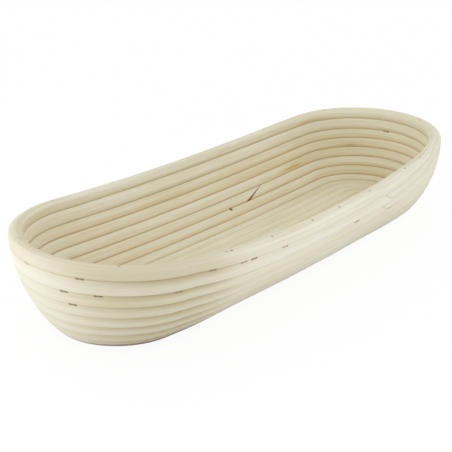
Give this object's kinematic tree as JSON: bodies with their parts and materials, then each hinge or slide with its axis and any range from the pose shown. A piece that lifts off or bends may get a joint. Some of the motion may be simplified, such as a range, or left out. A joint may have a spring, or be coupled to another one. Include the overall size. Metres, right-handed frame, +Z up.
{
  "type": "long oval proofing basket",
  "caption": "Long oval bread-proofing basket coiled from peeled rattan cane, with a flat floor, flared ribbed wall, thicker band under the rim, slanted cane joints, nails and staples.",
  "frame": {"origin": "middle of the basket's bounding box on the surface it stands on", "axes": "+X along the basket, +Y across it to the far side of the picture, +Z up"},
  "size_m": [0.4116, 0.1654, 0.07],
  "materials": {
    "rattan": "peeled rattan cane, unvarnished, matt to satin",
    "pale_rattan": "paler peeled rattan cane, unvarnished, satin",
    "fastener_steel": "dulled brown wire of nails and staples"
  },
  "bodies": {
    "root": {"band_cane": "pale_rattan", "band_staple_01": "fastener_steel", "band_staple_02": "fastener_steel", "band_staple_03": "fastener_steel", "band_staple_04": "fastener_steel", "band_staple_05": "fastener_steel", "band_staple_06": "fastener_steel", "course_10_inner_staple_01": "fastener_steel", "course_10_staple_01": "fastener_steel", "course_10_staple_02": "fastener_steel", "course_10_staple_03": "fastener_steel", "course_10_staple_04": "fastener_steel", "course_6_inner_nail_01": "fastener_steel", "course_8_staple_01": "fastener_steel", "course_9_staple_01": "fastener_steel", "floor_coil_cane": "rattan", "lower_wall_cane": "rattan", "middle_cane": "rattan", "rim_cane": "pale_rattan", "rim_nail_01": "fastener_steel", "rim_nail_02": "fastener_steel", "rim_nail_03": "fastener_steel", "rim_nail_04": "fastener_steel", "rim_nail_05": "fastener_steel", "rim_nail_06": "fastener_steel", "rim_nail_07": "fastener_steel", "rim_nail_08": "fastener_steel", "rim_nail_09": "fastener_steel", "rim_nail_10": "fastener_steel", "rim_nail_11": "fastener_steel", "rim_nail_12": "fastener_steel", "rim_nail_13": "fastener_steel", "rim_nail_14": "fastener_steel", "rim_staple_01": "fastener_steel", "rim_staple_02": "fastener_steel", "upper_wall_cane": "rattan"}
  },
  "joints": []
}
